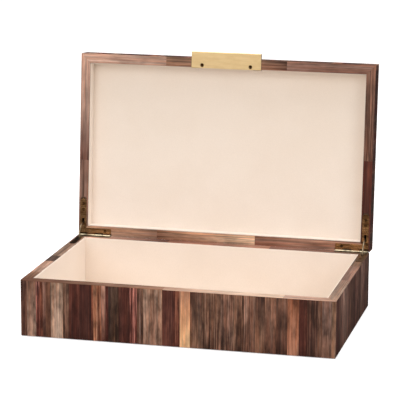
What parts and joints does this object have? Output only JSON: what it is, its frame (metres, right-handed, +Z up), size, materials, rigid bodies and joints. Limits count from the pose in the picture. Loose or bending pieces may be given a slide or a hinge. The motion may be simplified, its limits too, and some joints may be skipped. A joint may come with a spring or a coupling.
{
  "type": "inlaid wooden box",
  "caption": "Shallow hinged wooden box with upright veneer strips outside, a cream lining inside, quadrant stop hinges and a flat brass finger pull on the lid.",
  "frame": {"origin": "centre of the flat underside", "axes": "+X to the right along the width, -Y towards the front with the pull, +Z up"},
  "size_m": [0.305, 0.2243, 0.2497],
  "materials": {
    "inlay_wood": "satin lacquer",
    "rim_wood": "satin lacquer",
    "core_wood": "sawn",
    "cream_lining": "fine suede",
    "felt": "felt",
    "aged_brass": "aged satin",
    "pale_brass": "brushed satin",
    "dark_screw": "aged"
  },
  "bodies": {
    "base": {"base_back_inlay": "inlay_wood", "base_back_lining": "cream_lining", "base_back_rim": "rim_wood", "base_back_wall": "core_wood", "base_felt": "felt", "base_floor": "core_wood", "base_floor_lining": "cream_lining", "base_front_inlay": "inlay_wood", "base_front_lining": "cream_lining", "base_front_rim": "rim_wood", "base_front_wall": "core_wood", "base_left_inlay": "inlay_wood", "base_left_lining": "cream_lining", "base_left_rim": "rim_wood", "base_left_wall": "core_wood", "base_right_inlay": "inlay_wood", "base_right_lining": "cream_lining", "base_right_rim": "rim_wood", "base_right_wall": "core_wood", "hinge_base_leaf_left": "aged_brass", "hinge_base_leaf_right": "aged_brass", "hinge_base_screws_left": "dark_screw", "hinge_base_screws_right": "dark_screw", "hinge_pin_left": "aged_brass", "hinge_pin_right": "aged_brass"},
    "lid": {"hinge_lid_leaf_left": "aged_brass", "hinge_lid_leaf_right": "aged_brass", "hinge_lid_screws_left": "dark_screw", "hinge_lid_screws_right": "dark_screw", "lid_back_inlay": "inlay_wood", "lid_back_lining": "cream_lining", "lid_back_rail": "core_wood", "lid_back_rim": "rim_wood", "lid_front_inlay": "inlay_wood", "lid_front_lining": "cream_lining", "lid_front_rail": "core_wood", "lid_front_rim": "rim_wood", "lid_left_inlay": "inlay_wood", "lid_left_lining": "cream_lining", "lid_left_rail": "core_wood", "lid_left_rim": "rim_wood", "lid_panel": "core_wood", "lid_panel_lining": "cream_lining", "lid_right_inlay": "inlay_wood", "lid_right_lining": "cream_lining", "lid_right_rail": "core_wood", "lid_right_rim": "rim_wood", "lid_top_inlay": "inlay_wood", "pull_plate": "pale_brass", "pull_screws": "dark_screw"},
    "quadrant_arm_left": {"quadrant_arm_left": "aged_brass"},
    "quadrant_arm_right": {"quadrant_arm_right": "aged_brass"}
  },
  "joints": [
    {"name": "lid_hinge", "type": "hinge", "parent": "base", "child": "lid", "pos_m": [0, 0.094, 0.05605], "axis": [1, 0, 0], "range_deg": [0, 95]},
    {"name": "arm_left_turn", "type": "hinge", "parent": "base", "child": "quadrant_arm_left", "pos_m": [0, 0.094, 0.05605], "axis": [1, 0, 0], "range_deg": [0, 48]},
    {"name": "arm_right_turn", "type": "hinge", "parent": "base", "child": "quadrant_arm_right", "pos_m": [0, 0.094, 0.05605], "axis": [1, 0, 0], "range_deg": [0, 48]}
  ],
  "couplings": [
    {"joint": "arm_left_turn", "follows": "lid_hinge", "ratio": 0.5},
    {"joint": "arm_right_turn", "follows": "lid_hinge", "ratio": 0.5}
  ]
}
